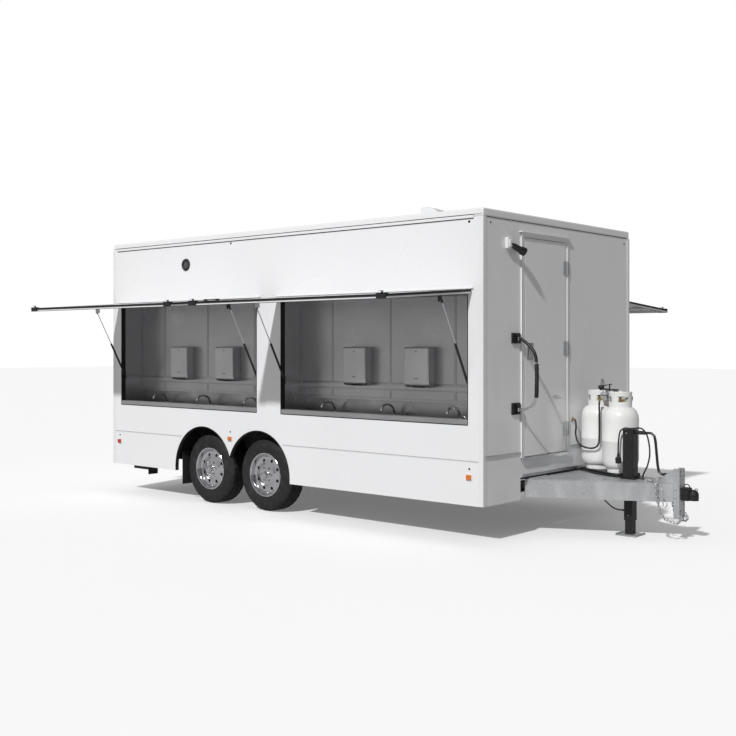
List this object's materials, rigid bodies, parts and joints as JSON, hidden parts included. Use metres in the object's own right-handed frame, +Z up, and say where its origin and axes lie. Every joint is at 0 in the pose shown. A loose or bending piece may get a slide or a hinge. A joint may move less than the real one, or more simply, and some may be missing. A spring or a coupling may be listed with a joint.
{
  "type": "handwash trailer",
  "caption": "Tandem-axle box trailer with open awning hatches over stainless handwash sinks, an entry door, gas cylinders and a tongue jack.",
  "frame": {"origin": "on the ground under the middle of the trailer's overall length and width", "axes": "+X forward to the hitch, +Y to the street side (the curb side is -Y), +Z up"},
  "size_m": [6.115, 4.5468, 2.8194],
  "materials": {
    "white_panel": "glossy white gel-coat panel",
    "underbody": "black-coated ply floor and wheel boxes",
    "frame_steel": "satin black paint",
    "galvanised": "hot-dip galvanised",
    "stainless": "brushed",
    "chrome": "polished",
    "black_steel": "semi-gloss black",
    "tyre": "matte",
    "hose_rubber": "satin",
    "black_plastic": "moulded",
    "tank_white": "gloss powder coat",
    "tank_plastic": "translucent white polyethylene"
  },
  "bodies": {
    "trailer": {"chassis_frame": "frame_steel", "tongue_frame": "galvanised", "axle_front": "frame_steel", "axle_rear": "frame_steel", "floor": "underbody", "side_wall_right": "white_panel", "side_wall_left": "white_panel", "front_wall": "white_panel", "rear_wall": "white_panel", "roof": "white_panel", "roof_vent": "white_panel", "sink_bay_right_front": "stainless", "sink_bay_right_rear": "stainless", "sink_bay_left_front": "stainless", "sink_bay_left_rear": "stainless", "faucet_row_right_front": "chrome", "faucet_row_right_rear": "chrome", "dispenser_right_front_1": "stainless", "dispenser_right_front_2": "stainless", "dispenser_right_rear_1": "stainless", "dispenser_right_rear_2": "stainless", "coupler_channel": "galvanised", "coupler_head": "black_steel", "jack_housing": "black_steel", "tank_rack": "black_steel", "propane_tank_front": "tank_white", "propane_tank_rear": "tank_white", "fresh_water_tank": "tank_plastic", "water_heater": "white_panel", "gas_hose": "hose_rubber", "trailer_cable": "hose_rubber", "trailer_plug": "black_plastic"},
    "hatch_leaf_right_front": {"hatch_right_front": "white_panel"},
    "strut_cylinder_right_front": {"strut_tube_right_front": "black_steel"},
    "strut_piston_right_front": {"strut_rod_right_front": "chrome"},
    "hatch_leaf_right_rear": {"hatch_right_rear": "white_panel"},
    "strut_cylinder_right_rear": {"strut_tube_right_rear": "black_steel"},
    "strut_piston_right_rear": {"strut_rod_right_rear": "chrome"},
    "hatch_leaf_left_front": {"hatch_left_front": "white_panel"},
    "strut_cylinder_left_front": {"strut_tube_left_front": "black_steel"},
    "strut_piston_left_front": {"strut_rod_left_front": "chrome"},
    "hatch_leaf_left_rear": {"hatch_left_rear": "white_panel"},
    "strut_cylinder_left_rear": {"strut_tube_left_rear": "black_steel"},
    "strut_piston_left_rear": {"strut_rod_left_rear": "chrome"},
    "road_wheel_right_front": {"tyre_right_front": "tyre", "wheel_right_front": "chrome"},
    "road_wheel_right_rear": {"tyre_right_rear": "tyre", "wheel_right_rear": "chrome"},
    "road_wheel_left_front": {"tyre_left_front": "tyre", "wheel_left_front": "chrome"},
    "road_wheel_left_rear": {"tyre_left_rear": "tyre", "wheel_left_rear": "chrome"},
    "door": {"entry_door": "white_panel"},
    "door_paddle": {"door_latch": "black_steel"},
    "grab_bar": {"grab_handle": "black_steel"},
    "jack_inner_leg": {"jack_leg": "black_steel"},
    "crank": {"jack_crank": "black_steel"},
    "latch_lever": {"coupler_latch": "black_steel"},
    "stabiliser_leg_right": {"stabiliser_right": "black_steel"},
    "stabiliser_leg_left": {"stabiliser_left": "black_steel"}
  },
  "joints": [
    {"name": "hatch_hinge_right_front", "type": "hinge", "parent": "trailer", "child": "hatch_leaf_right_front", "pos_m": [0.6065, -1.224, 2], "axis": [1, 0, 0], "range_deg": [0, 86]},
    {"name": "strut_foot_right_front", "type": "hinge", "parent": "trailer", "child": "strut_cylinder_right_front", "pos_m": [-0.4405, -1.185, 1.26], "axis": [-1, 0, 0], "range_deg": [0, 28.25]},
    {"name": "strut_stroke_right_front", "type": "slide", "parent": "strut_cylinder_right_front", "child": "strut_piston_right_front", "axis": [0, 0.4695, -0.8829], "range_m": [0, 0.3519]},
    {"name": "hatch_hinge_right_rear", "type": "hinge", "parent": "trailer", "child": "hatch_leaf_right_rear", "pos_m": [-1.8515, -1.224, 2], "axis": [1, 0, 0], "range_deg": [0, 86]},
    {"name": "strut_foot_right_rear", "type": "hinge", "parent": "trailer", "child": "strut_cylinder_right_rear", "pos_m": [-2.8985, -1.185, 1.26], "axis": [-1, 0, 0], "range_deg": [0, 28.25]},
    {"name": "strut_stroke_right_rear", "type": "slide", "parent": "strut_cylinder_right_rear", "child": "strut_piston_right_rear", "axis": [0, 0.4695, -0.8829], "range_m": [0, 0.3519]},
    {"name": "hatch_hinge_left_front", "type": "hinge", "parent": "trailer", "child": "hatch_leaf_left_front", "pos_m": [0.6065, 1.224, 2], "axis": [-1, 0, 0], "range_deg": [0, 86]},
    {"name": "strut_foot_left_front", "type": "hinge", "parent": "trailer", "child": "strut_cylinder_left_front", "pos_m": [-0.4405, 1.185, 1.26], "axis": [1, 0, 0], "range_deg": [0, 28.25]},
    {"name": "strut_stroke_left_front", "type": "slide", "parent": "strut_cylinder_left_front", "child": "strut_piston_left_front", "axis": [0, -0.4695, -0.8829], "range_m": [0, 0.3519]},
    {"name": "hatch_hinge_left_rear", "type": "hinge", "parent": "trailer", "child": "hatch_leaf_left_rear", "pos_m": [-1.8515, 1.224, 2], "axis": [-1, 0, 0], "range_deg": [0, 86]},
    {"name": "strut_foot_left_rear", "type": "hinge", "parent": "trailer", "child": "strut_cylinder_left_rear", "pos_m": [-2.8985, 1.185, 1.26], "axis": [1, 0, 0], "range_deg": [0, 28.25]},
    {"name": "strut_stroke_left_rear", "type": "slide", "parent": "strut_cylinder_left_rear", "child": "strut_piston_left_rear", "axis": [0, -0.4695, -0.8829], "range_m": [0, 0.3519]},
    {"name": "wheel_spin_right_front", "type": "hinge", "parent": "trailer", "child": "road_wheel_right_front", "pos_m": [-0.7675, -1.0275, 0.34831], "axis": [0, 1, 0], "continuous": true},
    {"name": "wheel_spin_right_rear", "type": "hinge", "parent": "trailer", "child": "road_wheel_right_rear", "pos_m": [-1.5675, -1.0275, 0.34831], "axis": [0, 1, 0], "continuous": true},
    {"name": "wheel_spin_left_front", "type": "hinge", "parent": "trailer", "child": "road_wheel_left_front", "pos_m": [-0.7675, 1.0275, 0.34831], "axis": [0, 1, 0], "continuous": true},
    {"name": "wheel_spin_left_rear", "type": "hinge", "parent": "trailer", "child": "road_wheel_left_rear", "pos_m": [-1.5675, 1.0275, 0.34831], "axis": [0, 1, 0], "continuous": true},
    {"name": "door_hinge", "type": "hinge", "parent": "trailer", "child": "door", "pos_m": [1.8345, 0.047, 1.57], "axis": [0, 0, 1], "range_deg": [0, 72]},
    {"name": "door_paddle_pull", "type": "hinge", "parent": "door", "child": "door_paddle", "pos_m": [1.837, -0.545, 1.575], "axis": [0, -1, 0], "range_deg": [0, 35], "stiffness_Nm_per_rad": 1, "springref_deg": -5.73},
    {"name": "grab_bar_fold", "type": "hinge", "parent": "trailer", "child": "grab_bar", "pos_m": [1.8505, -0.754, 1.35], "axis": [0, 0, 1], "range_deg": [-88, 0]},
    {"name": "jack_lift", "type": "slide", "parent": "trailer", "child": "jack_inner_leg", "axis": [0, 0, 1], "range_m": [-0.2, 0.1]},
    {"name": "jack_crank_turn", "type": "hinge", "parent": "trailer", "child": "crank", "pos_m": [2.4625, 0, 0.86], "axis": [1, 0, 0], "continuous": true},
    {"name": "coupler_latch_lift", "type": "hinge", "parent": "trailer", "child": "latch_lever", "pos_m": [2.9318, 0, 0.4345], "axis": [0, -1, 0], "range_deg": [0, 40]},
    {"name": "stabiliser_drop_right", "type": "hinge", "parent": "trailer", "child": "stabiliser_leg_right", "pos_m": [-2.9175, -1.02, 0.262], "axis": [0, 1, 0], "range_deg": [0, 46]},
    {"name": "stabiliser_drop_left", "type": "hinge", "parent": "trailer", "child": "stabiliser_leg_left", "pos_m": [-2.9175, 1.02, 0.262], "axis": [0, 1, 0], "range_deg": [0, 46]}
  ],
  "couplings": [
    {"joint": "strut_foot_right_front", "follows": "hatch_hinge_right_front", "ratio": 0.32794},
    {"joint": "strut_stroke_right_front", "follows": "hatch_hinge_right_front", "m_per_rad": 0.2341},
    {"joint": "strut_foot_right_rear", "follows": "hatch_hinge_right_rear", "ratio": 0.32794},
    {"joint": "strut_stroke_right_rear", "follows": "hatch_hinge_right_rear", "m_per_rad": 0.2341},
    {"joint": "strut_foot_left_front", "follows": "hatch_hinge_left_front", "ratio": 0.32794},
    {"joint": "strut_stroke_left_front", "follows": "hatch_hinge_left_front", "m_per_rad": 0.2341},
    {"joint": "strut_foot_left_rear", "follows": "hatch_hinge_left_rear", "ratio": 0.32794},
    {"joint": "strut_stroke_left_rear", "follows": "hatch_hinge_left_rear", "m_per_rad": 0.2341}
  ]
}
